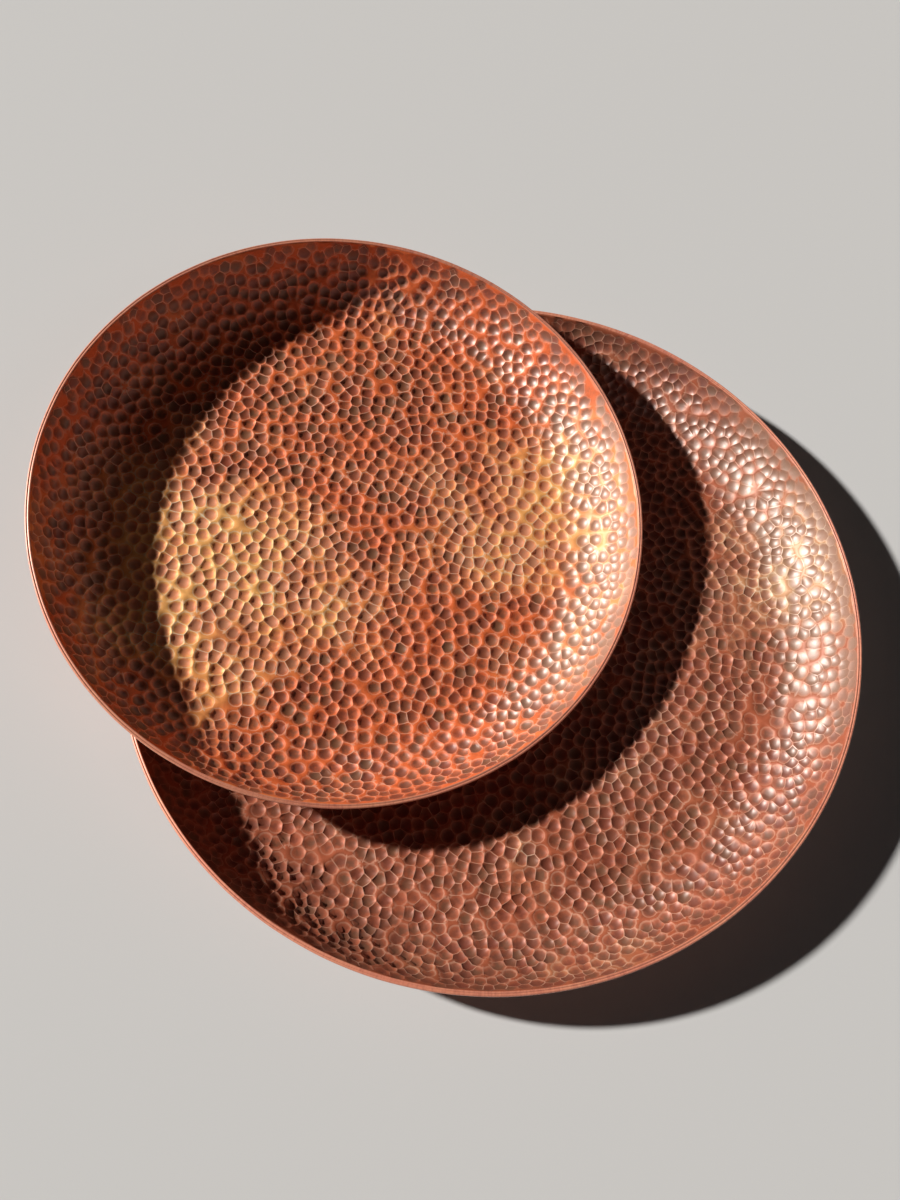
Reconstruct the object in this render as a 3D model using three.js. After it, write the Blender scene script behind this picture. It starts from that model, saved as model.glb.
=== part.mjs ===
import * as THREE from 'three';

// Set of two round hammered serving trays, the smaller one leaning in the larger.
// Millimetres, +Z up. The origin is on the table under the middle of the larger tray,
// the viewer stands on the -Y side and +X is to the right.

// Trays: outer radius over the rim, and height from the underside of the dish to its edge
const LARGE_RADIUS = 150;
const LARGE_HEIGHT = 25;
const SMALL_RADIUS = 125;
const SMALL_HEIGHT = 25;

// Dish: one beaten sheet, a flat floor that turns up in a cove to a straight sloping wall
const SHEET = 1;
const COVE_RADIUS = 34;
const WALL_ANGLE = 67;

// Rim hoop: half-round wire soldered round the outside of the edge
const HOOP_WIDTH = 1;
const HOOP_HEIGHT = 2.4;
const SOLDER_GAP = 0.3;

// Non-slip pad glued under the floor
const LARGE_PAD_RADIUS = 95;
const SMALL_PAD_RADIUS = 60;
const PAD_THICKNESS = 1.5;
const PAD_CHAMFER = 0.4;
const BOND_GAP = 0.3;

// How the smaller tray is left: its middle is moved off the larger one's, and it settles
// with its foot on the larger floor and its back over the larger rim
const LEAN_OFFSET = 75;
const LEAN_DIRECTION = 145;
const REST_GAP = 0.3;

// Facets round each ring, and steps across the cove and the hoop
const FACETS = 90;
const COVE_STEPS = 10;
const HOOP_STEPS = 7;

const FOOT = PAD_THICKNESS + BOND_GAP;

// Section of one tray as [radius, height] points, height 0 at the underside of the dish
function traySection(radius, height, padRadius) {
  const rise = Math.max(height - SHEET - HOOP_HEIGHT, SHEET);
  const steepest = Math.acos(Math.max(1 - rise / COVE_RADIUS, 0));
  const wall = Math.min(THREE.MathUtils.degToRad(WALL_ANGLE), steepest);
  const along = [Math.cos(wall), Math.sin(wall)];
  const out = [Math.sin(wall), -Math.cos(wall)];

  const half = HOOP_HEIGHT / 2;
  const bulge = Math.hypot(half * along[0], HOOP_WIDTH * out[0]);
  const edgeOut = radius - bulge + half * along[0] - SOLDER_GAP * out[0];
  const edgeIn = edgeOut - SHEET / along[1];

  const outerCove = COVE_RADIUS + SHEET;
  const centre = SHEET + COVE_RADIUS;
  const coveTop = centre - outerCove * Math.cos(wall);
  const straight = (height - coveTop) / Math.tan(wall);
  const floorRadius = edgeOut - straight - outerCove * Math.sin(wall);

  const arc = (size) => {
    const points = [];
    for (let i = 0; i <= COVE_STEPS; i += 1) {
      const turn = (wall * i) / COVE_STEPS;
      points.push([floorRadius + size * Math.sin(turn), centre - size * Math.cos(turn)]);
    }
    return points;
  };

  const hoop = [];
  for (let i = 0; i <= HOOP_STEPS; i += 1) {
    const turn = Math.PI * (i / HOOP_STEPS - 0.5);
    const up = half * Math.sin(turn) - half;
    const away = SOLDER_GAP + HOOP_WIDTH * Math.cos(turn);
    hoop.push([
      edgeOut + up * along[0] + away * out[0],
      height + up * along[1] + away * out[1],
    ]);
  }

  return {
    outside: arc(outerCove),
    inside: arc(COVE_RADIUS).reverse(),
    edge: [[edgeOut, height], [edgeIn, height]],
    hoop,
    pad: Math.min(padRadius, floorRadius),
  };
}

// Outline of a tray from its pad out, up and over the hoop to its inner edge
function underside(section) {
  return [
    [0, -FOOT],
    [section.pad, -FOOT],
    [section.pad, 0],
    ...section.outside,
    ...section.hoop,
    ...section.edge,
  ];
}

// Outline of a tray from its hoop over the edge and down the inside to the middle
function topside(section) {
  return [
    ...section.hoop,
    ...section.edge,
    ...section.inside,
    [0, SHEET],
  ];
}

// Distance from a closed section to a point, negative inside it
function gapTo(outline, r, z) {
  let nearest = Infinity;
  let inside = false;
  for (let i = 0; i < outline.length; i += 1) {
    const [ar, az] = outline[i];
    const [br, bz] = outline[(i + 1) % outline.length];
    const dr = br - ar;
    const dz = bz - az;
    const length = dr * dr + dz * dz;
    const along = length > 0 ? ((r - ar) * dr + (z - az) * dz) / length : 0;
    const t = Math.min(Math.max(along, 0), 1);
    nearest = Math.min(nearest, Math.hypot(r - ar - t * dr, z - az - t * dz));
    if ((az > z) !== (bz > z) && r < ar + ((z - az) / dz) * dr) {
      inside = !inside;
    }
  }
  return inside ? -nearest : nearest;
}

// Value between two ends at which a rising function passes zero
function rootBetween(low, high, rising) {
  let a = low;
  let b = high;
  for (let i = 0; i < 26; i += 1) {
    const middle = (a + b) / 2;
    if (rising(middle) > 0) {
      b = middle;
    } else {
      a = middle;
    }
  }
  return b;
}

// Tilt and height at which the leaning tray comes to rest. The lean runs along +r from the
// middle of the tray, and the larger tray's middle is the offset away in that direction.
function settle(large, small, offset) {
  const deep = 10 * (LARGE_RADIUS + SMALL_RADIUS);
  const bed = [
    ...topside(large),
    [0, -deep],
    [large.hoop[0][0], -deep],
  ];
  const keel = [
    ...underside(small),
    [small.edge[1][0], deep],
    [0, deep],
  ];
  const rim = [...large.hoop, ...large.edge];
  const bottom = underside(small);

  const floorGap = (tilt, lift) => {
    let least = Infinity;
    for (let degree = 0; degree <= 90; degree += 5) {
      const turn = THREE.MathUtils.degToRad(degree);
      for (const [r, z] of bottom) {
        const x = r * Math.cos(turn);
        const forward = x * Math.cos(tilt) + z * Math.sin(tilt) - offset;
        const side = r * Math.sin(turn);
        const level = lift - x * Math.sin(tilt) + z * Math.cos(tilt);
        least = Math.min(least, gapTo(bed, Math.hypot(forward, side), level));
      }
    }
    return least - REST_GAP;
  };

  const rimGap = (tilt, lift) => {
    let least = Infinity;
    for (let degree = 90; degree <= 180; degree += 1) {
      const turn = THREE.MathUtils.degToRad(degree);
      for (const [r, z] of rim) {
        const forward = r * Math.cos(turn) + offset;
        const rise = z - lift;
        const x = forward * Math.cos(tilt) - rise * Math.sin(tilt);
        const level = forward * Math.sin(tilt) + rise * Math.cos(tilt);
        least = Math.min(least, gapTo(keel, Math.hypot(x, r * Math.sin(turn)), level));
      }
    }
    return least - REST_GAP;
  };

  const onFloor = (tilt) => rootBetween(0, 4 * LARGE_RADIUS, (lift) => floorGap(tilt, lift));
  const tilt = rootBetween(0, 0.7, (angle) => rimGap(angle, onFloor(angle)));
  return { tilt, lift: onFloor(tilt) };
}

// Solid of revolution about Z from a section walked from the axis outwards and back
function turned(points) {
  const profile = points.map(([r, z]) => new THREE.Vector2(r, z));
  const geometry = new THREE.LatheGeometry(profile, FACETS);
  geometry.rotateX(Math.PI / 2);
  return geometry;
}

function piece(name, geometry, color, roughness, metalness) {
  const material = new THREE.MeshStandardMaterial({ color, roughness, metalness });
  const mesh = new THREE.Mesh(geometry, material);
  mesh.name = name;
  return mesh;
}

// Dish, rim hoop and pad of one tray, the underside of the dish at height 0
function tray(name, section) {
  const dish = turned([
    [0, 0],
    ...section.outside,
    ...section.edge,
    ...section.inside,
    [0, SHEET],
  ]);
  const hoop = turned([...section.hoop, section.hoop[0]]);
  const pad = turned([
    [0, -FOOT],
    [section.pad - PAD_CHAMFER, -FOOT],
    [section.pad, PAD_CHAMFER - FOOT],
    [section.pad, -BOND_GAP],
    [0, -BOND_GAP],
  ]);
  const group = new THREE.Group();
  group.name = name;
  group.add(piece(`${name}_dish`, dish, 0x9c4f30, 0.42, 0.85));
  group.add(piece(`${name}_rim_hoop`, hoop, 0xc98a70, 0.45, 0.85));
  group.add(piece(`${name}_base_pad`, pad, 0x2a211d, 0.9, 0));
  return group;
}

const largeSection = traySection(LARGE_RADIUS, LARGE_HEIGHT, LARGE_PAD_RADIUS);
const smallSection = traySection(SMALL_RADIUS, SMALL_HEIGHT, SMALL_PAD_RADIUS);

const large = tray('large', largeSection);
large.position.set(0, 0, FOOT);

const rest = settle(largeSection, smallSection, LEAN_OFFSET);
const bearing = THREE.MathUtils.degToRad(LEAN_DIRECTION);
const away = new THREE.Vector3(Math.cos(bearing), Math.sin(bearing), 0);
const up = new THREE.Vector3(0, 0, Math.cos(rest.tilt)).addScaledVector(away, -Math.sin(rest.tilt));
const small = tray('small', smallSection);
small.quaternion.setFromUnitVectors(new THREE.Vector3(0, 0, 1), up);
small.position.copy(away).multiplyScalar(LEAN_OFFSET);
small.position.z = FOOT + rest.lift;

const set = new THREE.Group();
set.name = 'hammered_tray_set';
set.add(large, small);
set.updateMatrixWorld(true);

export default set;
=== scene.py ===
# %% [markdown]
# # A pair of hammered trays
# Two round trays of one pattern lie together, the smaller one leaning in the larger. Each is a dish
# beaten from one sheet, with a wire hoop soldered round its edge and a thin rubber pad glued under
# its floor. The solids give the exact places and sizes. This script dresses them with thousands of
# hammer hollows and the aged finish.

# %% Load the solids
import bmesh
import bpy
import math
import numpy as np
from mathutils import Matrix, Vector
from mathutils.geometry import delaunay_2d_cdt


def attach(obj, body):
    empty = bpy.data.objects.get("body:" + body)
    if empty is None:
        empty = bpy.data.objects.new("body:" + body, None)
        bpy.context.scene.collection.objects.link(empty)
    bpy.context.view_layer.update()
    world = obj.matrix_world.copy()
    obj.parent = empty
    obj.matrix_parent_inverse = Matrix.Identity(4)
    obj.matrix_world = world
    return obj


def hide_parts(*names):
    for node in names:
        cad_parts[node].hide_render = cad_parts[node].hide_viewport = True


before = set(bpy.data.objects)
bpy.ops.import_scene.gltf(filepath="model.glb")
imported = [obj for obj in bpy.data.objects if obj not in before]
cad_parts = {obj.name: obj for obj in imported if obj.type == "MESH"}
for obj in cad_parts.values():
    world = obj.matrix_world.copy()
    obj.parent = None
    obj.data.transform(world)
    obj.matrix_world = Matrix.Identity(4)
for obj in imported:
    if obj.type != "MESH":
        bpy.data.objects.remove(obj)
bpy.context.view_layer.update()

# %% [markdown]
# ## Sizes of one tray
# A tray is a body of revolution: a flat floor, a cove that turns up, and a short straight wall with
# the wire round its edge. These are the sizes of the solids, in metres. The unrolled radius is the
# way from the middle of the floor along the section to the edge, which is the size of the flat
# pattern that the hammer marks are laid out on.

# %% Sizes
MM = 0.001
RADII = {"large": 150 * MM, "small": 125 * MM}
PAD_RADII = {"large": 95 * MM, "small": 60 * MM}
HEIGHT = 25 * MM
SHEET = 1 * MM
COVE = 34 * MM
WALL = math.radians(67)
HOOP_WIDTH = 1 * MM
HOOP_HEIGHT = 2.4 * MM
SOLDER_GAP = 0.3 * MM
PAD_THICKNESS = 1.5 * MM
BOND_GAP = 0.3 * MM
FOOT = PAD_THICKNESS + BOND_GAP

hoop_bulge = math.hypot(HOOP_HEIGHT / 2 * math.cos(WALL), HOOP_WIDTH * math.sin(WALL))
hoop_reach = hoop_bulge - HOOP_HEIGHT / 2 * math.cos(WALL) + SOLDER_GAP * math.sin(WALL)
outer_cove_top = SHEET + COVE - (COVE + SHEET) * math.cos(WALL)
side_run = (HEIGHT - outer_cove_top) / math.tan(WALL) + (COVE + SHEET) * math.sin(WALL)
wall_length = (HEIGHT - SHEET - COVE * (1 - math.cos(WALL))) / math.sin(WALL)
EDGES = {tray: radius - hoop_reach for tray, radius in RADII.items()}
FLOORS = {tray: edge - side_run for tray, edge in EDGES.items()}
PATTERNS = {tray: floor + COVE * WALL + wall_length for tray, floor in FLOORS.items()}
print("floor radii, mm", {tray: round(size / MM, 2) for tray, size in FLOORS.items()})
print("unrolled radii, mm", {tray: round(size / MM, 2) for tray, size in PATTERNS.items()})

# %% [markdown]
# ## Where each tray lies
# The larger tray stands flat on the table. The smaller one is tilted, and its place is read from the
# solids: the middle and the plane of its rim hoop. The direction in which the hoop's points spread
# least is the tray's axis.

# %% Places read from the rim hoops
def ring_place(node):
    points = np.array([v.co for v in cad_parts[node].data.vertices])
    centre = points.mean(axis=0)
    axis = np.linalg.eigh(np.cov((points - centre).T))[1][:, 0]
    return Vector(centre), Vector(axis * np.sign(axis[2]))


def place(node, hoop_height):
    centre, axis = ring_place(node)
    turn = Vector((0, 0, 1)).rotation_difference(axis).to_matrix().to_4x4()
    return Matrix.Translation(centre - axis * hoop_height) @ turn


HOOP_MIDDLE = ring_place("large_rim_hoop")[0].z - FOOT
PLACES = {tray: place(f"{tray}_rim_hoop", HOOP_MIDDLE) for tray in RADII}
for tray, matrix in PLACES.items():
    print(tray, "underside at, mm", [round(c / MM, 2) for c in matrix.translation],
          "tilt, degrees", round(math.degrees(matrix.to_quaternion().angle), 2))

# %% [markdown]
# ## Small helpers for node trees
# Every tree here is built by script. Five helpers keep that readable: one makes a tree with named
# sockets, one fills an input with a number or a link, one adds a node, and two write sums and vector
# sums.

# %% Node helpers
GEOMETRY, NUMBER, COUNT = "NodeSocketGeometry", "NodeSocketFloat", "NodeSocketInt"
COLOUR, VECTOR, MATERIAL = "NodeSocketColor", "NodeSocketVector", "NodeSocketMaterial"


def new_tree(kind, name, inputs, outputs):
    tree = bpy.data.node_groups.new(name, kind)
    for label, socket in inputs:
        tree.interface.new_socket(label, in_out="INPUT", socket_type=socket)
    for label, socket in outputs:
        tree.interface.new_socket(label, in_out="OUTPUT", socket_type=socket)
    return tree, tree.nodes.new("NodeGroupInput").outputs, tree.nodes.new("NodeGroupOutput").inputs


def fill(tree, socket, value):
    if isinstance(value, bpy.types.NodeSocket):
        tree.links.new(value, socket)
    else:
        socket.default_value = value


def add(tree, kind, inputs=None, **settings):
    made = tree.nodes.new(kind)
    for key, value in settings.items():
        setattr(made, key, value)
    for key, value in (inputs or {}).items():
        fill(tree, made.inputs[key], value)
    return made


def calc(tree, operation, *values):
    return add(tree, "ShaderNodeMath", dict(enumerate(values)), operation=operation).outputs[0]


def arrow(tree, operation, *values):
    made = add(tree, "ShaderNodeVectorMath", operation=operation)
    for key, value in enumerate(values):
        fill(tree, made.inputs["Scale" if operation == "SCALE" and key == 1 else key], value)
    return made.outputs["Value" if operation in {"LENGTH", "DOT_PRODUCT"} else "Vector"]


print("helpers ready")

# %% [markdown]
# ## Where the hammer fell
# The maker walks round the dish and strikes it a few millimetres apart, never on a fixed grid. Points
# scattered with a least distance give that rhythm, and a slow drift draws them together here and
# apart there, into the short rows that a working arm leaves. Evenly spaced stations are added round
# the edge.

# %% Tree: hammer strikes on the unrolled dish
FLAT = (1.0, 1.0, 0.0)
HALF_GREY = (0.5, 0.5, 0.5)
DRIFTS_PER_METRE = 60.0
DRIFT_FADE = (2 * MM, 10 * MM)
GROUND_SIDES = 160

strikes_tree, ask, give = new_tree("GeometryNodeTree", "hammer strikes", [
    ("Pattern Radius", NUMBER), ("Edge Margin", NUMBER), ("Least Spacing", NUMBER), ("Blows", NUMBER),
    ("Edge Stations", COUNT), ("Seed", COUNT), ("Drift", NUMBER), ("Finish", MATERIAL)],
    [("Strikes", GEOMETRY)])
t = strikes_tree
here = add(t, "GeometryNodeInputPosition").outputs[0]
to_edge = calc(t, "SUBTRACT", ask["Pattern Radius"], arrow(t, "LENGTH", here))
ground = add(t, "GeometryNodeMeshCircle", {
    "Vertices": GROUND_SIDES, "Radius": calc(t, "SUBTRACT", ask["Pattern Radius"], ask["Edge Margin"])},
    fill_type="TRIANGLE_FAN").outputs[0]
strikes = add(t, "GeometryNodeDistributePointsOnFaces", {
    "Mesh": ground, "Distance Min": ask["Least Spacing"], "Density Max": ask["Blows"], "Seed": ask["Seed"]},
    distribute_method="POISSON").outputs["Points"]
sway = add(t, "ShaderNodeTexNoise", {
    "Vector": here, "Scale": DRIFTS_PER_METRE, "Detail": 0.0}).outputs["Color"]
sway = arrow(t, "MULTIPLY", arrow(t, "SUBTRACT", sway, HALF_GREY), FLAT)
free = add(t, "ShaderNodeMapRange", {
    "Value": to_edge, "From Min": DRIFT_FADE[0], "From Max": DRIFT_FADE[1]}).outputs[0]
drift = arrow(t, "SCALE", sway, calc(t, "MULTIPLY", ask["Drift"], free))
strikes = add(t, "GeometryNodeSetPosition", {"Geometry": strikes, "Offset": drift}).outputs[0]
stations = add(t, "GeometryNodeMeshCircle", {
    "Vertices": ask["Edge Stations"], "Radius": ask["Pattern Radius"]}, fill_type="NONE").outputs[0]
both = add(t, "GeometryNodeJoinGeometry")
for points in (add(t, "GeometryNodePointsToVertices", {"Points": strikes}).outputs[0], stations):
    t.links.new(points, both.inputs[0])
real = add(t, "GeometryNodeRealizeInstances", {"Geometry": both.outputs[0]})
done = add(t, "GeometryNodeSetMaterial", {"Geometry": real.outputs[0], "Material": ask["Finish"]})
t.links.new(done.outputs[0], give["Strikes"])
print("tree", t.name, len(t.nodes), "nodes")

# %% [markdown]
# ## The ground of each blow
# Each strike owns the ground nearer to it than to its neighbours. The strikes come in as a triangle
# net, and the dual mesh of that net has one cell for each strike. A cell's corner belongs at the
# place that is equally far from three strikes. There is a neat way to find it with nodes: lift the
# net onto a bowl, where height is distance squared, and the slope of each lifted triangle points
# straight at that place.

# %% Tree: one cell for each strike
BOWL = 6.0
AT_EDGE = 0.01 * MM
CORNER_FADE = (3 * MM, 8 * MM)
SHORTEST_RIDGE = 0.2 * MM
CHANCES = {"deep": (0.86, 1.12, 11), "tone": (0.0, 1.0, 12)}

cells_tree, ask, give = new_tree("GeometryNodeTree", "strike cells", [
    ("Net", GEOMETRY), ("Pattern Radius", NUMBER)], [("Cells", GEOMETRY), ("Strikes", GEOMETRY)])
t = cells_tree


def mark(mesh, label, kind, domain, value):
    return add(t, "GeometryNodeStoreNamedAttribute", {"Geometry": mesh, "Name": label, "Value": value},
               data_type=kind, domain=domain).outputs[0]


here = add(t, "GeometryNodeInputPosition").outputs[0]
to_edge = calc(t, "SUBTRACT", ask["Pattern Radius"], arrow(t, "LENGTH", here))
at_edge = calc(t, "LESS_THAN", to_edge, AT_EDGE)
inner = calc(t, "SUBTRACT", 1.0, at_edge)
blows = add(t, "GeometryNodeMeshToPoints", {"Mesh": ask["Net"], "Selection": inner})
t.links.new(blows.outputs[0], give["Strikes"])
net = mark(ask["Net"], "strike", "FLOAT_VECTOR", "POINT", here)
net = mark(net, "edge", "FLOAT", "POINT", at_edge)
for label, (low, high, seed) in CHANCES.items():
    chance = add(t, "FunctionNodeRandomValue", {2: low, 3: high, "Seed": seed}).outputs[1]
    net = mark(net, label, "FLOAT", "POINT", chance)
height = calc(t, "MULTIPLY", arrow(t, "DOT_PRODUCT", here, here), BOWL)
net = add(t, "GeometryNodeSetPosition", {
    "Geometry": net, "Offset": add(t, "ShaderNodeCombineXYZ", {"Z": height}).outputs[0]}).outputs[0]
normal = add(t, "GeometryNodeInputNormal").outputs[0]
facing = add(t, "ShaderNodeSeparateXYZ", {0: normal}).outputs["Z"]
level = arrow(t, "MULTIPLY", normal, FLAT)
slope = arrow(t, "SCALE", level, calc(t, "DIVIDE", -0.5 / BOWL, facing))
net = mark(net, "corner", "FLOAT_VECTOR", "FACE", slope)
net = add(t, "GeometryNodeSetPosition", {"Geometry": net, "Position": arrow(t, "MULTIPLY", here, FLAT)})
cells = add(t, "GeometryNodeDualMesh", {"Mesh": net.outputs[0], "Keep Boundaries": True}).outputs[0]
corner = add(t, "GeometryNodeInputNamedAttribute", {"Name": "corner"}, data_type="FLOAT_VECTOR").outputs[0]
inside = add(t, "ShaderNodeMapRange", {
    "Value": to_edge, "From Min": CORNER_FADE[0], "From Max": CORNER_FADE[1]}).outputs[0]
shift = arrow(t, "SCALE", arrow(t, "SUBTRACT", corner, here), inside)
cells = add(t, "GeometryNodeSetPosition", {"Geometry": cells, "Offset": shift}).outputs[0]
cells = add(t, "GeometryNodeMergeByDistance", {"Geometry": cells, "Distance": SHORTEST_RIDGE}).outputs[0]
t.links.new(cells, give["Cells"])
print("tree", t.name, len(t.nodes), "nodes")

# %% [markdown]
# ## What one blow leaves
# A ball-faced hammer leaves a shallow round hollow. Where two hollows overlap they meet in a thin
# ridge, low where the blows were close, and where they don't meet a scrap of untouched sheet stays at
# full height. Each cell is cut into wedges and stepped inwards, so it gets a ridge, a lip and a
# curved bowl from few faces. A first step makes the lip, and one or two more rings round the bowl
# where there are faces to spare. The hollows get shallow towards the edge, and the Cove Gain can make
# them deeper than the rest over the cove. What the finish needs is stored on the mesh too: how deep a
# point lies, and how near it is to a ridge.

# %% Tree: sink a hollow in each cell
def named(tree, label, kind="FLOAT"):
    return add(tree, "GeometryNodeInputNamedAttribute", {"Name": label}, data_type=kind).outputs[0]


def store(tree, mesh, label, value, selection=True):
    return add(tree, "GeometryNodeStoreNamedAttribute", {
        "Geometry": mesh, "Selection": selection, "Name": label, "Value": value},
        data_type="FLOAT", domain="POINT").outputs[0]


def dent(tree, distance, radius):
    across = calc(tree, "DIVIDE", distance, radius)
    return calc(tree, "MAXIMUM", calc(tree, "SUBTRACT", 1.0, calc(tree, "MULTIPLY", across, across)), 0.0)


def soft_step(tree, value, low, high, start=0.0, end=1.0):
    return add(tree, "ShaderNodeMapRange", {
        "Value": value, "From Min": low, "From Max": high, "To Min": start, "To Max": end},
        interpolation_type="SMOOTHSTEP").outputs[0]


def reach_to(tree, strikes):
    return add(tree, "GeometryNodeProximity", {0: strikes}, target_element="POINTS").outputs["Distance"]


EDGE_DEPTH = 0.28
DEPTH_FADE = (0.8 * MM, 16 * MM)
LIFT_FADE = (0.8 * MM, 6 * MM)
COVE_BAND = (48 * MM, 62 * MM)
LEAST_REACH = 1e-5
RIDGE_SPREAD = (0.5, 0.25)
LIP_RIDGE = 0.5
BOWL_RINGS = (0.7, 0.55)

sink_tree, ask, give = new_tree("GeometryNodeTree", "sink hollows", [
    ("Wedges", GEOMETRY), ("Strikes", GEOMETRY), ("Pattern Radius", NUMBER), ("Hollow Radius", NUMBER),
    ("Hollow Depth", NUMBER), ("Ridge Width", NUMBER), ("Crest Lift", NUMBER), ("Second Ring From", NUMBER),
    ("Third Ring From", NUMBER), ("Cove Gain", NUMBER)], [("Mesh", GEOMETRY)])
t = sink_tree
here = add(t, "GeometryNodeInputPosition").outputs[0]
strike = named(t, "strike", "FLOAT_VECTOR")
mesh = store(t, store(t, ask["Wedges"], "reach", reach_to(t, ask["Strikes"])), "share", 1.0)
mesh = store(t, mesh, "ridge", 1.0)
reach = calc(t, "MAXIMUM", named(t, "reach"), LEAST_REACH)
uneven = calc(t, "MULTIPLY_ADD", named(t, "tone"), *RIDGE_SPREAD)
half_ridge = calc(t, "DIVIDE", calc(t, "MULTIPLY", ask["Ridge Width"], uneven), reach)
to_lip = calc(t, "DIVIDE", ask["Hollow Radius"], reach)
to_lip = calc(t, "MAXIMUM", calc(t, "MINIMUM", to_lip, calc(t, "SUBTRACT", 1.0, half_ridge)), 0.0)
selection = calc(t, "LESS_THAN", named(t, "edge"), 0.5)
strike_to_edge = calc(t, "SUBTRACT", ask["Pattern Radius"], arrow(t, "LENGTH", strike))
second = calc(t, "GREATER_THAN", strike_to_edge, ask["Second Ring From"])
third = calc(t, "GREATER_THAN", strike_to_edge, ask["Third Ring From"])
ring_steps = ((to_lip, LIP_RIDGE, selection), (BOWL_RINGS[0], 0.0, second), (BOWL_RINGS[1], 0.0, third))
for step, ridge, cells in ring_steps:
    selection = calc(t, "MULTIPLY", selection, cells)
    stepped = add(t, "GeometryNodeExtrudeMesh", {
        "Mesh": mesh, "Selection": selection, "Offset Scale": 0.0, "Individual": False}, mode="FACES")
    selection = stepped.outputs["Top"]
    inwards = arrow(t, "ADD", strike, arrow(t, "SCALE", arrow(t, "SUBTRACT", here, strike), step))
    mesh = add(t, "GeometryNodeSetPosition", {
        "Geometry": stepped.outputs["Mesh"], "Selection": selection, "Position": inwards}).outputs[0]
    mesh = store(t, mesh, "share", calc(t, "MULTIPLY", named(t, "share"), step), selection)
    mesh = store(t, mesh, "ridge", ridge, selection)
from_strike = calc(t, "MULTIPLY", named(t, "share"), named(t, "reach"))
open_radius = calc(t, "MINIMUM", ask["Hollow Radius"], named(t, "reach"))
force = calc(t, "MULTIPLY", calc(t, "SUBTRACT", named(t, "deep"), 1.0), dent(t, from_strike, open_radius))
mesh = store(t, mesh, "hollow", calc(t, "ADD", dent(t, from_strike, ask["Hollow Radius"]), force))
to_edge = calc(t, "SUBTRACT", ask["Pattern Radius"], arrow(t, "LENGTH", here))
full_depth = soft_step(t, to_edge, *COVE_BAND, ask["Cove Gain"], 1.0)
sunk = calc(t, "MULTIPLY", calc(t, "MULTIPLY", named(t, "hollow"), ask["Hollow Depth"]),
            soft_step(t, to_edge, *DEPTH_FADE, EDGE_DEPTH, full_depth))
lift = calc(t, "MULTIPLY", ask["Crest Lift"], soft_step(t, to_edge, *LIFT_FADE))
mesh = store(t, mesh, "rise", calc(t, "SUBTRACT", lift, sunk))
t.links.new(mesh, give["Mesh"])
print("tree", t.name, len(t.nodes), "nodes")

# %% [markdown]
# ## From flat pattern to dish
# The pattern was made flat, as if the dish were unrolled. This tree rolls it up again: a point's
# distance from the middle becomes the way along the section, across the floor, round the cove and up
# the wall, and its height becomes a step along the sheet's own normal. Hand work is never quite true,
# so a slow swell of a fraction of a millimetre is added, fading out towards the edge, where the wire
# holds the sheet round.

# %% Tree: wrap the pattern onto the tray's section
SWELLS_PER_METRE = 22.0
SWELL_FADE = (0.6, 1.0)

wrap_tree, ask, give = new_tree("GeometryNodeTree", "wrap onto section", [
    ("Mesh", GEOMETRY), ("Floor Radius", NUMBER), ("Cove Radius", NUMBER), ("Wall Angle", NUMBER),
    ("Sheet", NUMBER), ("Swell", NUMBER)], [("Mesh", GEOMETRY)])
t = wrap_tree
here = add(t, "GeometryNodeInputPosition").outputs[0]
along = arrow(t, "LENGTH", here)
past_floor = calc(t, "SUBTRACT", along, ask["Floor Radius"])
cove_length = calc(t, "MULTIPLY", ask["Cove Radius"], ask["Wall Angle"])
held = soft_step(t, calc(t, "DIVIDE", past_floor, cove_length), *SWELL_FADE, 1.0, 0.0)
slow = add(t, "ShaderNodeTexNoise", {"Vector": here, "Scale": SWELLS_PER_METRE, "Detail": 1.0}).outputs[0]
swell = calc(t, "MULTIPLY", calc(t, "MULTIPLY", slow, ask["Swell"]), held)
rise = calc(t, "ADD", named(t, "rise"), swell)
turn = calc(t, "MINIMUM", calc(t, "MAXIMUM", calc(t, "DIVIDE", past_floor, ask["Cove Radius"]), 0.0),
            ask["Wall Angle"])
straight = calc(t, "MAXIMUM", calc(t, "SUBTRACT", past_floor, cove_length), 0.0)
sine, cosine = calc(t, "SINE", turn), calc(t, "COSINE", turn)
out = calc(t, "MULTIPLY", ask["Cove Radius"], sine)
out = calc(t, "ADD", out, calc(t, "MINIMUM", along, ask["Floor Radius"]))
out = calc(t, "ADD", out, calc(t, "MULTIPLY", straight, cosine))
out = calc(t, "SUBTRACT", out, calc(t, "MULTIPLY", rise, sine))
up = calc(t, "MULTIPLY", ask["Cove Radius"], calc(t, "SUBTRACT", 1.0, cosine))
up = calc(t, "ADD", calc(t, "ADD", up, ask["Sheet"]), calc(t, "MULTIPLY", straight, sine))
up = calc(t, "ADD", up, calc(t, "MULTIPLY", rise, cosine))
mesh = store(t, ask["Mesh"], "steep", calc(t, "DIVIDE", turn, ask["Wall Angle"]))
rolled = add(t, "GeometryNodeSetPosition", {"Geometry": mesh, "Position": arrow(
    t, "ADD", arrow(t, "SCALE", arrow(t, "NORMALIZE", here), out),
    add(t, "ShaderNodeCombineXYZ", {"Z": up}).outputs[0])})
t.links.new(rolled.outputs[0], give["Mesh"])
print("tree", t.name, len(t.nodes), "nodes")

# %% [markdown]
# ## The whole dish
# The dish has two faces and an edge. Its upper face is the hammered one. Each blow also pushes the
# metal through a little, so the underside gets a low boss under every strike, with a height of its
# own over the cove. The edge of the sheet is grown from the underside's border in steps that round it
# over, and the last step lands exactly on the upper face, where the two weld.

# %% Tree: beaten dish
EDGE_STEPS = ((0.06, -0.8), (0.1, -0.45), (0.06, -0.12))
EDGE_RIDGE = 0.6
UNDERSIDE = {"hollow": 0.5, "ridge": 0.25, "tone": 0.5}
WELD = 0.03 * MM


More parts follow.
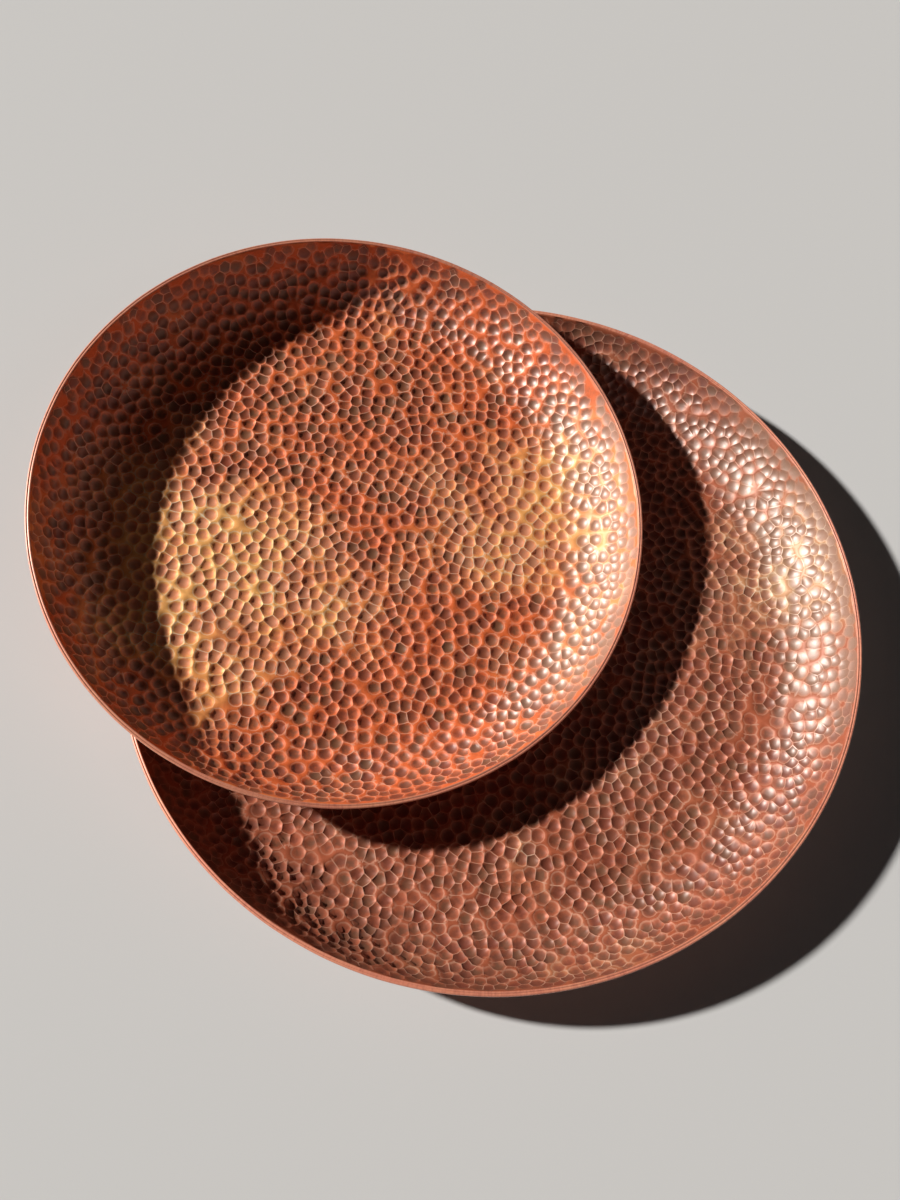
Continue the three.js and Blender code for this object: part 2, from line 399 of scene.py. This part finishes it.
def grow_border(tree, mesh, border, widen, rise, hollow, ridge):
    grown = add(tree, "GeometryNodeExtrudeMesh", {
        "Mesh": mesh, "Selection": border, "Offset Scale": 0.0}, mode="EDGES")
    new = grown.outputs["Top"]
    here = add(tree, "GeometryNodeInputPosition").outputs[0]
    mesh = add(tree, "GeometryNodeSetPosition", {
        "Geometry": grown.outputs["Mesh"], "Selection": new,
        "Position": arrow(tree, "SCALE", here, widen)}).outputs[0]
    for label, value in (("rise", rise), ("hollow", hollow), ("ridge", ridge)):
        mesh = store(tree, mesh, label, value, new)
    return mesh, new


dish_tree, ask, give = new_tree("GeometryNodeTree", "beaten dish", [
    ("Net", GEOMETRY), ("Pattern Radius", NUMBER), ("Floor Radius", NUMBER), ("Cove Radius", NUMBER),
    ("Wall Angle", NUMBER), ("Sheet", NUMBER), ("Swell", NUMBER), ("Hollow Radius", NUMBER),
    ("Hollow Depth", NUMBER), ("Ridge Width", NUMBER), ("Crest Lift", NUMBER), ("Second Ring From", NUMBER),
    ("Third Ring From", NUMBER), ("Cove Gain", NUMBER), ("Boss Height", NUMBER), ("Cove Boss", NUMBER),
    ("Finish", MATERIAL)], [("Dish", GEOMETRY)])
t = dish_tree
laid = add(t, "GeometryNodeGroup", {
    "Net": ask["Net"], "Pattern Radius": ask["Pattern Radius"]}, node_tree=cells_tree)
here = add(t, "GeometryNodeInputPosition").outputs[0]
around = add(t, "GeometryNodeInputMeshVertexNeighbors")
middle = calc(t, "COMPARE", around.outputs[0], around.outputs[1], 0.1)
struck = calc(t, "MULTIPLY", middle, calc(t, "LESS_THAN", named(t, "edge"), 0.5))


def wedges(cells):
    cut = add(t, "GeometryNodeSubdivideMesh", {"Mesh": cells, "Level": 1}).outputs[0]
    return add(t, "GeometryNodeSetPosition", {
        "Geometry": cut, "Selection": struck, "Position": named(t, "strike", "FLOAT_VECTOR")}).outputs[0]


apart = add(t, "GeometryNodeSplitEdges", {"Mesh": laid.outputs["Cells"]}).outputs[0]
upper = add(t, "GeometryNodeGroup", {
    "Wedges": wedges(apart), "Strikes": laid.outputs["Strikes"]}, node_tree=sink_tree)
for label in ("Pattern Radius", "Hollow Radius", "Hollow Depth", "Ridge Width", "Crest Lift",
              "Second Ring From", "Third Ring From", "Cove Gain"):
    t.links.new(ask[label], upper.inputs[label])
reach = reach_to(t, laid.outputs["Strikes"])
to_edge = calc(t, "SUBTRACT", ask["Pattern Radius"], arrow(t, "LENGTH", here))
boss = soft_step(t, to_edge, *COVE_BAND, ask["Cove Boss"], ask["Boss Height"])
boss = soft_step(t, to_edge, *DEPTH_FADE, ask["Boss Height"], boss)
boss = calc(t, "MULTIPLY", dent(t, reach, ask["Hollow Radius"]), boss)
lower = add(t, "GeometryNodeFlipFaces", {"Mesh": wedges(laid.outputs["Cells"])}).outputs[0]
lower = store(t, lower, "rise", calc(t, "MULTIPLY", calc(t, "ADD", ask["Sheet"], boss), -1.0))
for label, value in UNDERSIDE.items():
    lower = store(t, lower, label, value)
border = calc(t, "COMPARE", add(t, "GeometryNodeInputMeshEdgeNeighbors").outputs[0], 1.0, 0.1)
sheet_share = calc(t, "DIVIDE", ask["Sheet"], ask["Pattern Radius"])
before = 1.0
for push, level in EDGE_STEPS:
    wider = calc(t, "ADD", calc(t, "MULTIPLY", sheet_share, push), 1.0)
    lower, border = grow_border(t, lower, border, calc(t, "DIVIDE", wider, before),
                                calc(t, "MULTIPLY", ask["Sheet"], level), 0.0, EDGE_RIDGE)
    before = wider
bite = dent(t, reach, ask["Hollow Radius"])
landing = calc(t, "MULTIPLY", calc(t, "MULTIPLY", bite, ask["Hollow Depth"]), -EDGE_DEPTH)
lower, border = grow_border(t, lower, border, calc(t, "DIVIDE", 1.0, before), landing, bite, 1.0)
whole = add(t, "GeometryNodeJoinGeometry")
for side in (upper.outputs["Mesh"], lower):
    t.links.new(side, whole.inputs[0])
rolled = add(t, "GeometryNodeGroup", {"Mesh": whole.outputs[0]}, node_tree=wrap_tree)
for label in ("Floor Radius", "Cove Radius", "Wall Angle", "Sheet", "Swell"):
    t.links.new(ask[label], rolled.inputs[label])
welded = add(t, "GeometryNodeMergeByDistance", {"Geometry": rolled.outputs[0], "Distance": WELD})
smooth = add(t, "GeometryNodeSetShadeSmooth", {"Geometry": welded.outputs[0]})
real = add(t, "GeometryNodeRealizeInstances", {"Geometry": smooth.outputs[0]})
done = add(t, "GeometryNodeSetMaterial", {"Geometry": real.outputs[0], "Material": ask["Finish"]})
t.links.new(done.outputs[0], give["Dish"])
print("tree", t.name, len(t.nodes), "nodes")

# %% [markdown]
# ## Aged copper
# Copper goes brown where it is left alone and stays bright where it is rubbed. One node group makes
# that mix for every copper piece: it is given a place on the surface and a first guess of how aged
# that place is, and it adds slow cloudy patches and fine mottling. It gives back a colour, a
# roughness and a fine grain for the bump.

# %% Node group: aged copper
def blend(tree, share, first, second):
    made = add(tree, "ShaderNodeMix", data_type="RGBA")
    for key, value in ((0, share), (6, first), (7, second)):
        fill(tree, made.inputs[key], value)
    return made.outputs[2]


def noise(tree, where, scale, detail, roughness=0.5):
    return add(tree, "ShaderNodeTexNoise", {
        "Vector": where, "Scale": scale, "Detail": detail, "Roughness": roughness}).outputs[0]


CLOUDS_PER_METRE = 24.0
MOTTLES_PER_METRE = 560.0
GRAINS_PER_METRE = 1500.0
CLOUD_SHARE = 0.5
ROUGH_BRIGHT = 0.46
ROUGH_AGED = 0.54
ROUGH_GRAIN = 0.10

copper_group, ask, give = new_tree("ShaderNodeTree", "aged copper", [
    ("Place", VECTOR), ("Age", NUMBER), ("Gold", NUMBER), ("Bright", COLOUR), ("Aged", COLOUR),
    ("Golden", COLOUR)], [("Colour", COLOUR), ("Roughness", NUMBER), ("Grain", NUMBER)])
t = copper_group
clouds = noise(t, ask["Place"], CLOUDS_PER_METRE, 3.0)
mottle = noise(t, ask["Place"], MOTTLES_PER_METRE, 4.0, 0.65)
grain = noise(t, ask["Place"], GRAINS_PER_METRE, 3.0, 0.6)
age = calc(t, "ADD", ask["Age"], calc(t, "SUBTRACT", mottle, 0.5))
age = calc(t, "ADD", age, calc(t, "MULTIPLY", calc(t, "SUBTRACT", clouds, 0.5), CLOUD_SHARE))
age = soft_step(t, age, 0.0, 1.0)
# Gold share: on the dishes mostly painted light, a warm glow; on the rim a random tone.
young_gold = calc(t, "MULTIPLY", ask["Gold"], calc(t, "SUBTRACT", 1.0, age))
warm = blend(t, young_gold, ask["Bright"], ask["Golden"])
t.links.new(blend(t, age, warm, ask["Aged"]), give["Colour"])
rough = soft_step(t, age, 0.0, 1.0, ROUGH_BRIGHT, ROUGH_AGED)
rough = calc(t, "ADD", rough, calc(t, "MULTIPLY", grain, ROUGH_GRAIN))
t.links.new(rough, give["Roughness"])
t.links.new(grain, give["Grain"])
print("group", t.name, len(t.nodes), "nodes")

# %% [markdown]
# ## The copper finishes
# The dish reads what its geometry stored: deep places are aged, ridges and scraps of flat land are
# rubbed bright, and each hollow has a tone of its own, redder or more olive. Along the ridges and lips
# run pale lines, which come and go slowly: partly wear, partly a painted highlight for the glint that
# the ridges catch. Golden patches are painted light, a warm glow set at given spots on the lit floor
# and on the cove's highlight, over a slow random tone. A clear lacquer gives the cream glints. It is
# left mainly in the hollows, thin on the floor and away from one spot of the cove where the key
# light's highlight falls. Round that spot the hollows also get a pale tan tint, a painted highlight.
# The wire was filed, so it is more even, with fine strokes across it and a full coat of lacquer.

# %% Materials: beaten copper and rim copper
CREAM = (1.0, 0.86, 0.64, 1)
PATCHES_PER_METRE = 40.0
GOLD_SHOWS = (0.5, 1.08)
LINES_PER_METRE = 45.0
COATED = dict(near=80 * MM, far=190 * MM, elsewhere=0.4)
# Reach and strength of the painted highlight tint round the highlight spot.
PAINTED_HIGHLIGHT_REACH = dict(near=30 * MM, far=130 * MM, elsewhere=0.0)
PAINTED_HIGHLIGHT_MOST = 0.62
COPPER_GRAIN = 0.03 * MM
RIM_GRAIN = 0.02 * MM
STROKES_PER_METRE = 1300.0


def new_material(name, **shader_values):
    material = bpy.data.materials.new(name)
    material.use_nodes = True
    shader = material.node_tree.nodes["Principled BSDF"]
    for label, value in shader_values.items():
        shader.inputs[label.replace("_", " ")].default_value = value
    return material, material.node_tree, shader


def on_object(tree):
    return add(tree, "ShaderNodeTexCoord").outputs["Object"]


def finish_copper(tree, shader, age, gold, bright, aged, golden, bump):
    copper = add(tree, "ShaderNodeGroup", {
        "Place": on_object(tree), "Age": age, "Gold": gold, "Bright": bright, "Aged": aged,
        "Golden": golden}, node_tree=copper_group)
    tree.links.new(copper.outputs["Roughness"], shader.inputs["Roughness"])
    relief = add(tree, "ShaderNodeBump", {
        "Height": copper.outputs["Grain"], "Strength": 1.0, "Distance": bump})
    tree.links.new(relief.outputs[0], shader.inputs["Normal"])
    return copper.outputs["Colour"]


def read(tree, label):
    return add(tree, "ShaderNodeAttribute", attribute_name=label, attribute_type="GEOMETRY").outputs["Fac"]


# Painted light: a slow random tone, raised at given glow spots that stand for warm light on the lit floor
# and the highlight on the cove.
def golden_tone_and_glow(tree, glow_spots):
    place = on_object(tree)
    total = noise(tree, place, PATCHES_PER_METRE, 2.0)
    for centre, radius, strength in glow_spots:
        off = arrow(tree, "LENGTH", arrow(tree, "SUBTRACT", place, centre))
        total = calc(tree, "ADD", total, soft_step(tree, off, 0.1 * radius, radius, strength, 0.0))
    return soft_step(tree, total, *GOLD_SHOWS)


# Share of the cove near the highlight spot; it sets the coat weight and the painted highlight tint.
def coat_and_painted_highlight_share(tree, highlight_spot, near, far, elsewhere):
    off = arrow(tree, "LENGTH", arrow(tree, "SUBTRACT", on_object(tree), highlight_spot))
    on_cove = soft_step(tree, read(tree, "steep"), 0.05, 0.45, 0.3, 1.0)
    return calc(tree, "MULTIPLY", on_cove, soft_step(tree, off, near, far, 1.0, elsewhere))


def beaten_copper(name, bright, red_brown, olive, golden, glow_lit_hollow, crest, painted_highlight_tint, glow_spots, highlight_spot):
    material, t, shader = new_material(
        name, Metallic=0.15, Specular_IOR_Level=0.1, Coat_Roughness=0.48, Coat_IOR=2.1)
    hollow, ridge, tone = read(t, "hollow"), read(t, "ridge"), read(t, "tone")
    gold = golden_tone_and_glow(t, glow_spots)
    age = calc(t, "ADD", soft_step(t, hollow, 0.1, 0.85, 0.15, 0.9),
               calc(t, "MULTIPLY", calc(t, "SUBTRACT", tone, 0.5), 0.45))
    # Painted light: in the glow the hollows turn lighter and golden.
    age = calc(t, "SUBTRACT", age, calc(t, "MULTIPLY", gold, 0.2))
    aged = blend(t, calc(t, "FRACT", calc(t, "MULTIPLY", tone, 7.31)), red_brown, olive)
    aged = blend(t, calc(t, "MULTIPLY", gold, 0.7), aged, glow_lit_hollow)
    colour = finish_copper(t, shader, age, gold, bright, aged, golden, COPPER_GRAIN)
    # Pale lines on crests and lips: partly wear, partly a painted highlight for the glint the ridges catch.
    on_crest = calc(t, "MULTIPLY", soft_step(t, ridge, 0.55, 0.95), soft_step(t, hollow, 0.03, 0.18))
    on_lip = calc(t, "MULTIPLY", soft_step(t, hollow, 0.0, 0.12),
                  soft_step(t, hollow, 0.12, 0.35, 1.0, 0.0))
    pale = calc(t, "MAXIMUM", calc(t, "MULTIPLY", on_crest, 0.85), calc(t, "MULTIPLY", on_lip, 0.5))
    pale = calc(t, "MULTIPLY", pale, calc(t, "SUBTRACT", 1.0, read(t, "edge")))
    come_and_go = soft_step(t, noise(t, on_object(t), LINES_PER_METRE, 2.0), 0.36, 0.6, 0.5, 1.0)
    pale = calc(t, "MULTIPLY", pale, come_and_go)
    colour = blend(t, pale, colour, blend(t, gold, crest, CREAM))
    in_hollows = soft_step(t, hollow, 0.05, 0.4, 0.3, 1.0)
    # Painted highlight: round the highlight spot the hollows blend toward a pale tan tint.
    painted_highlight = soft_step(t, coat_and_painted_highlight_share(t, highlight_spot, **PAINTED_HIGHLIGHT_REACH), 0.2, 1.0, 0.0, PAINTED_HIGHLIGHT_MOST)
    painted_highlight = calc(t, "MULTIPLY", painted_highlight, in_hollows)
    t.links.new(blend(t, painted_highlight, colour, painted_highlight_tint), shader.inputs["Base Color"])
    coat = calc(t, "MULTIPLY", coat_and_painted_highlight_share(t, highlight_spot, **COATED), in_hollows)
    t.links.new(coat, shader.inputs["Coat Weight"])
    return material


# The highlight spot is where the key light's highlight falls on the cove; the glow spots are painted warm
# light and highlight.
COPPERS = {
    "large": beaten_copper(
        "large beaten copper", bright=(0.42, 0.11, 0.053, 1), red_brown=(0.225, 0.056, 0.032, 1),
        olive=(0.19, 0.078, 0.042, 1), golden=(0.66, 0.36, 0.18, 1), glow_lit_hollow=(0.40, 0.19, 0.12, 1),
        crest=(0.70, 0.38, 0.27, 1), painted_highlight_tint=(0.36, 0.21, 0.14, 1), highlight_spot=(0.136, 0.024, 0.012),
        glow_spots=[((0.136, 0.024, 0.012), 0.065, 0.45)]),
    "small": beaten_copper(
        "small beaten copper", bright=(0.84, 0.17, 0.05, 1), red_brown=(0.28, 0.060, 0.028, 1),
        olive=(0.21, 0.084, 0.040, 1), golden=(1.0, 0.50, 0.16, 1), glow_lit_hollow=(0.88, 0.38, 0.21, 1),
        crest=(1.0, 0.58, 0.42, 1), painted_highlight_tint=(0.42, 0.25, 0.17, 1), highlight_spot=(0.050, 0.030, 0.022),
        glow_spots=[((-0.122, 0.016, 0.026), 0.085, 0.55), ((0.020, 0.055, 0.010), 0.06, 0.42),
                 ((0.050, 0.030, 0.022), 0.05, 0.15), ((-0.037, 0.010, 0.018), 0.06, 0.15)]),
}
rim_copper, t, shader = new_material(
    "rim copper", Metallic=0.25, Specular_IOR_Level=0.1, Coat_Weight=1.0, Coat_Roughness=0.38, Coat_IOR=1.7)
spoke = add(t, "ShaderNodeAttribute", attribute_name="spoke", attribute_type="GEOMETRY").outputs["Vector"]
strokes = noise(t, spoke, STROKES_PER_METRE, 2.0)
film = soft_step(t, strokes, 0.35, 0.7, 0.15, 0.36)
colour = finish_copper(
    t, shader, film, noise(t, spoke, 30.0, 2.0), bright=(0.78, 0.24, 0.16, 1), aged=(0.39, 0.11, 0.075, 1),
    golden=(0.82, 0.37, 0.21, 1), bump=RIM_GRAIN)
t.links.new(colour, shader.inputs["Base Color"])
print("materials", [material.name for material in COPPERS.values()], rim_copper.name)

# %% [markdown]
# ## The dishes
# A tree becomes a piece in three moves: give a mesh the tree as a modifier and set its inputs, take
# the evaluated result as a plain mesh, and put that mesh in the tray's place. The strikes come first.
# They are joined into the best triangle net over their points, and the dish is beaten on that net. A
# tray on the bench is hammered blow by blow, so each has a pattern of its own. Faces are rationed:
# every bowl of the small tray, which lies on top, gets three steps, and those of the large tray,
# which has more of them, two on the floor and one further out. The large tray was struck harder over
# its cove, so there its hollows are deeper and its bosses taller.

# %% Make the dishes
NET_TOLERANCE = 1e-7
SAME_POINT = 1e-6


def from_tree(name, tree, start, **values):
    piece = bpy.data.objects.new(name, start)
    bpy.context.scene.collection.objects.link(piece)
    modifier = piece.modifiers.new("shape", "NODES")
    modifier.node_group = tree
    for item in tree.interface.items_tree:
        if item.in_out == "INPUT" and item.socket_type != GEOMETRY:
            modifier[item.identifier] = values[item.name.replace(" ", "_")]
    shape = bpy.data.meshes.new_from_object(piece.evaluated_get(bpy.context.evaluated_depsgraph_get()))
    piece.modifiers.remove(modifier)
    piece.data = shape
    shape.name = name
    return piece


def triangle_net(name, points):
    places, _, triangles = delaunay_2d_cdt([point.co.xy for point in points], [], [], 0, NET_TOLERANCE)[:3]
    net = bpy.data.meshes.new(name)
    net.from_pydata([(*place, 0) for place in places], [], triangles)
    return net


def face_outwards(shape):
    work = bmesh.new()
    work.from_mesh(shape)
    bmesh.ops.remove_doubles(work, verts=work.verts, dist=SAME_POINT)
    bmesh.ops.recalc_face_normals(work, faces=work.faces)
    open_edges = sum(not edge.is_manifold for edge in work.edges)
    triangles = sum(len(face.verts) - 2 for face in work.faces)
    work.to_mesh(shape)
    work.free()
    return open_edges, triangles


def settle(piece, tray, node):
    piece.data.transform(PLACES[tray])
    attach(piece, f"{tray}_tray")
    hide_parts(node)


STATIONS_APART = 5.6 * MM
EDGE_MARGIN = 1.6 * MM
BLOWS_TRIED = 4.5
SWELL = 0.2 * MM
RIDGE_WIDTH = 0.5 * MM
CREST_LIFT = 0.35 * MM
BOSS_HEIGHT = 0.3 * MM
SEEDS = {"large": 3, "small": 8}
SPACINGS = {"large": 3.75 * MM, "small": 4.15 * MM}
DRIFTS = {"large": 2.8 * MM, "small": 3.2 * MM}
HOLLOW_RADII = {"large": 3.2 * MM, "small": 3.3 * MM}
HOLLOW_DEPTHS = {"large": 1.25 * MM, "small": 1.1 * MM}
COVE_GAINS = {"large": 1.35, "small": 1.0}
COVE_BOSSES = {"large": 0.9 * MM, "small": 0.3 * MM}
RINGS_FROM = {"large": (56 * MM, 1.0), "small": (0.0, 0.0)}
for tray in RADII:
    size = PATTERNS[tray]
    strikes = from_tree(
        f"{tray}_strikes", strikes_tree, bpy.data.meshes.new("empty"), Pattern_Radius=size,
        Edge_Margin=EDGE_MARGIN, Least_Spacing=SPACINGS[tray], Blows=BLOWS_TRIED / SPACINGS[tray] ** 2,
        Edge_Stations=round(2 * math.pi * size / STATIONS_APART), Seed=SEEDS[tray], Drift=DRIFTS[tray],
        Finish=COPPERS[tray])
    net = triangle_net(f"{tray}_net", strikes.data.vertices)
    bpy.data.objects.remove(strikes)
    dish = from_tree(
        f"{tray}_beaten_dish", dish_tree, net, Pattern_Radius=size, Floor_Radius=FLOORS[tray],
        Cove_Radius=COVE, Wall_Angle=WALL, Sheet=SHEET, Swell=SWELL, Hollow_Radius=HOLLOW_RADII[tray],
        Hollow_Depth=HOLLOW_DEPTHS[tray], Ridge_Width=RIDGE_WIDTH, Crest_Lift=CREST_LIFT,
        Second_Ring_From=RINGS_FROM[tray][0], Third_Ring_From=RINGS_FROM[tray][1],
        Cove_Gain=COVE_GAINS[tray], Boss_Height=BOSS_HEIGHT, Cove_Boss=COVE_BOSSES[tray],
        Finish=COPPERS[tray])
    open_edges, triangles = face_outwards(dish.data)
    settle(dish, tray, f"{tray}_dish")
    print(dish.name, triangles, "triangles", open_edges, "open edges")

# %% [markdown]
# ## The rim hoops
# A copper wire is bent round the outside of the edge and soldered. Its top is filed flat and covers
# the edge of the sheet, and a fine groove shows where the two meet. A turned ring does for that. One
# touch of hand work is added: the wire wanders by a few hundredths of a millimetre. Each point keeps
# its spoke, the direction out from the middle, which the finish uses for the file strokes.

# %% Make the rim hoops
def turn_ring(name, section, steps, wander=None, closed=True):
    shape = bpy.data.meshes.new(name)
    count = len(section)
    angles = [2 * math.pi * step / steps for step in range(steps)]
    points = []
    for angle in angles:
        dr, dz = wander(angle) if wander else (0, 0)
        for r, z in section:
            points.append(((r + dr) * math.cos(angle), (r + dr) * math.sin(angle), z + dz))
    faces = [(step * count + i, (step + 1) % steps * count + i,
              (step + 1) % steps * count + (i + 1) % count, step * count + (i + 1) % count)
             for step in range(steps) for i in range(count if closed else count - 1)]
    shape.from_pydata(points, [], faces)
    shape.polygons.foreach_set("use_smooth", [True] * len(faces))
    piece = bpy.data.objects.new(name, shape)
    bpy.context.scene.collection.objects.link(piece)
    return piece


HOOP_STEPS = 360
WANDER = 0.03 * MM
HOOP_OUTLINE = (
    (-1.10, -2.20), (-0.55, -2.15), (0.05, -1.95), (0.50, -1.50), (0.76, -0.95), (0.84, -0.45), (0.76, 0.0),
    (0.60, 0.20), (0.40, 0.28), (-0.08, 0.30), (-0.13, 0.20), (-0.22, 0.20), (-0.27, 0.30), (-0.80, 0.30),
    (-0.94, 0.24), (-1.00, 0.10), (-1.00, -0.10), (-0.62, -0.60))


def hoop_section(edge):
    return [(edge + out * MM, HEIGHT + up * MM) for out, up in HOOP_OUTLINE]


def wire_wander(angle):
    slow = math.sin(7 * angle + 1.3) + 0.7 * math.sin(19 * angle + 0.4) + 0.5 * math.sin(43 * angle)
    return WANDER * slow, WANDER * math.sin(11 * angle + 2.1)


for tray in RADII:
    hoop = turn_ring(f"{tray}_wire_hoop", hoop_section(EDGES[tray]), HOOP_STEPS, wire_wander)
    hoop.data.materials.append(rim_copper)
    spokes = hoop.data.attributes.new("spoke", "FLOAT_VECTOR", "POINT")
    for point, spoke in zip(hoop.data.vertices, spokes.data):
        spoke.vector = (point.co * Vector((1, 1, 0))).normalized() * EDGES[tray]
    open_edges, triangles = face_outwards(hoop.data)
    settle(hoop, tray, f"{tray}_rim_hoop")
    print(hoop.name, triangles, "triangles", open_edges, "open edges")

# %% [markdown]
# ## The base pads
# A disc of rubber sheet is glued under the floor, so the tray neither slips nor scratches the table.
# Its underside has fine rings moulded in, and its edge is rounded. It is matt and dark, with a dusty
# bloom. Its section is turned about the middle, and the two poles are closed by merging their points.

# %% Make the base pads
RUBBER = (0.022, 0.016, 0.013, 1)
DUSTY = (0.050, 0.040, 0.034, 1)
BLOOMS_PER_METRE = 120.0
PIMPLES_PER_METRE = 2600.0
PIMPLE_HEIGHT = 0.04 * MM
PAD_STEPS = 160
PAD_RIB = 3 * MM
PAD_GROOVE = 0.35 * MM
GROOVE_MOUTH = 0.9 * MM
GROOVE_FLOOR = 0.4 * MM
PAD_ROUND = 0.4 * MM

base_pad, t, shader = new_material("base pad")
place = on_object(t)
bloom = soft_step(t, noise(t, place, BLOOMS_PER_METRE, 5.0, 0.65), 0.35, 0.75)
t.links.new(blend(t, bloom, RUBBER, DUSTY), shader.inputs["Base Color"])
t.links.new(soft_step(t, bloom, 0.0, 1.0, 0.78, 0.95), shader.inputs["Roughness"])
pimple = add(t, "ShaderNodeBump", {
    "Height": noise(t, place, PIMPLES_PER_METRE, 2.0), "Strength": 1.0, "Distance": PIMPLE_HEIGHT})
t.links.new(pimple.outputs[0], shader.inputs["Normal"])


def pad_section(radius):
    points = [(0.0, -BOND_GAP), (radius - PAD_ROUND, -BOND_GAP)]
    for level, turns in ((-BOND_GAP - PAD_ROUND, (60, 30, 0)), (-FOOT + PAD_ROUND, (0, -30, -60, -90))):
        for angle in map(math.radians, turns):
            out = radius - PAD_ROUND + PAD_ROUND * math.cos(angle)
            points.append((out, level + PAD_ROUND * math.sin(angle)))
    middle = PAD_RIB * (math.floor((radius - PAD_ROUND) / PAD_RIB) - 1)
    while middle > PAD_RIB * 1.5:
        points += [(middle + GROOVE_MOUTH, -FOOT), (middle + GROOVE_FLOOR, -FOOT + PAD_GROOVE),
                   (middle - GROOVE_FLOOR, -FOOT + PAD_GROOVE), (middle - GROOVE_MOUTH, -FOOT)]
        middle -= PAD_RIB
    return points + [(0.0, -FOOT)]


for tray, radius in PAD_RADII.items():
    pad = turn_ring(f"{tray}_ribbed_pad", pad_section(radius), PAD_STEPS, closed=False)
    pad.data.materials.append(base_pad)
    open_edges, triangles = face_outwards(pad.data)
    settle(pad, tray, f"{tray}_base_pad")
    print(pad.name, triangles, "triangles", open_edges, "open edges")

# %% [markdown]
# ## Camera
# The photograph looks steeply down from the front. Both rims show as ellipses, and their shapes give
# the camera's place, aim and field of view. The image is taller than wide, so the sensor size counts
# along its height.

# %% Place the camera
CAMERA_AT = Vector((-18.46, -173.84, 430.76)) * MM
CAMERA_AIM = Vector((0.0055, 0.39988, -0.91655))
CAMERA_RIGHT = Vector((0.99992, -0.01256, 0.00052))
FOCAL_PIXELS, IMAGE_HEIGHT, SENSOR = 1081, 1200, 36

lens = bpy.data.cameras.new("camera")
lens.sensor_fit = "VERTICAL"
lens.sensor_height = SENSOR
lens.lens = FOCAL_PIXELS * SENSOR / IMAGE_HEIGHT
lens.clip_start = 0.01
camera = bpy.data.objects.new("camera", lens)
aim = CAMERA_AIM.normalized()
right = (CAMERA_RIGHT - aim * CAMERA_RIGHT.dot(aim)).normalized()
turned = Matrix((right, right.cross(aim), -aim)).transposed().to_4x4()
camera.matrix_world = Matrix.Translation(CAMERA_AT) @ turned
bpy.context.scene.collection.objects.link(camera)
bpy.context.scene.camera = camera
print("focal length, mm", round(lens.lens, 2))

# %% [markdown]
# ## Floor and light
# A plain pale floor, one key light from the left at the angle of the shadows in the photograph, and a
# weak fill from the front right that keeps the relief readable in the shade. The sky lights the
# object only dimly, but low over the floor the camera and the metal see a backdrop as pale as the
# floor. Together the lights bring a level white card to about white, so colours show as they are
# written.

# %% Set the floor and the light
LAMPS = {
    "key": dict(azimuth=165, elevation=35, energy=5.0, spread=3, colour=(1.0, 0.96, 0.90)),
    "fill": dict(azimuth=320, elevation=42, energy=0.085, spread=12, colour=(1.0, 0.82, 0.74)),
}
DIM_SKY = (0.006, 0.0063, 0.0068, 1)
PALE_SKY = (0.60, 0.58, 0.555, 1)
BACKDROP_FADE = (0.2, 0.5)
FLOOR_REACH = 3
floor_mesh = bpy.data.meshes.new("floor")
corners = [(x * FLOOR_REACH, y * FLOOR_REACH, 0) for x, y in ((-1, -1), (1, -1), (1, 1), (-1, 1))]
floor_mesh.from_pydata(corners, [], [(0, 1, 2, 3)])
floor = bpy.data.objects.new("floor", floor_mesh)
bpy.context.scene.collection.objects.link(floor)
floor_paint = new_material("floor paint", Roughness=0.9, Base_Color=(0.61, 0.615, 0.625, 1))[0]
floor_mesh.materials.append(floor_paint)

for name, values in LAMPS.items():
    light = bpy.data.lights.new(name, "SUN")
    light.energy = values["energy"]
    light.angle = math.radians(values["spread"])
    light.color = values["colour"]
    azimuth, elevation = math.radians(values["azimuth"]), math.radians(values["elevation"])
    towards = Vector((math.cos(elevation) * math.cos(azimuth), math.cos(elevation) * math.sin(azimuth),
                      math.sin(elevation)))
    lamp = bpy.data.objects.new(name, light)
    lamp.rotation_euler = towards.to_track_quat("Z", "Y").to_euler()
    bpy.context.scene.collection.objects.link(lamp)
    print(name, "light towards", [round(c, 2) for c in towards])

world = bpy.data.worlds.new("sky")
world.use_nodes = True
t = world.node_tree
rays = add(t, "ShaderNodeLightPath").outputs
seen = calc(t, "MAXIMUM", rays["Is Camera Ray"], rays["Is Glossy Ray"])
seen = calc(t, "MAXIMUM", seen, rays["Is Transmission Ray"])
direction = add(t, "ShaderNodeTexCoord").outputs["Generated"]
skywards = add(t, "ShaderNodeSeparateXYZ", {0: direction}).outputs["Z"]
seen = calc(t, "MULTIPLY", seen, soft_step(t, skywards, *BACKDROP_FADE, 1.0, 0.0))
fill(t, t.nodes["Background"].inputs["Color"], blend(t, seen, DIM_SKY, PALE_SKY))
bpy.context.scene.world = world
bpy.context.scene.view_settings.view_transform = "Standard"
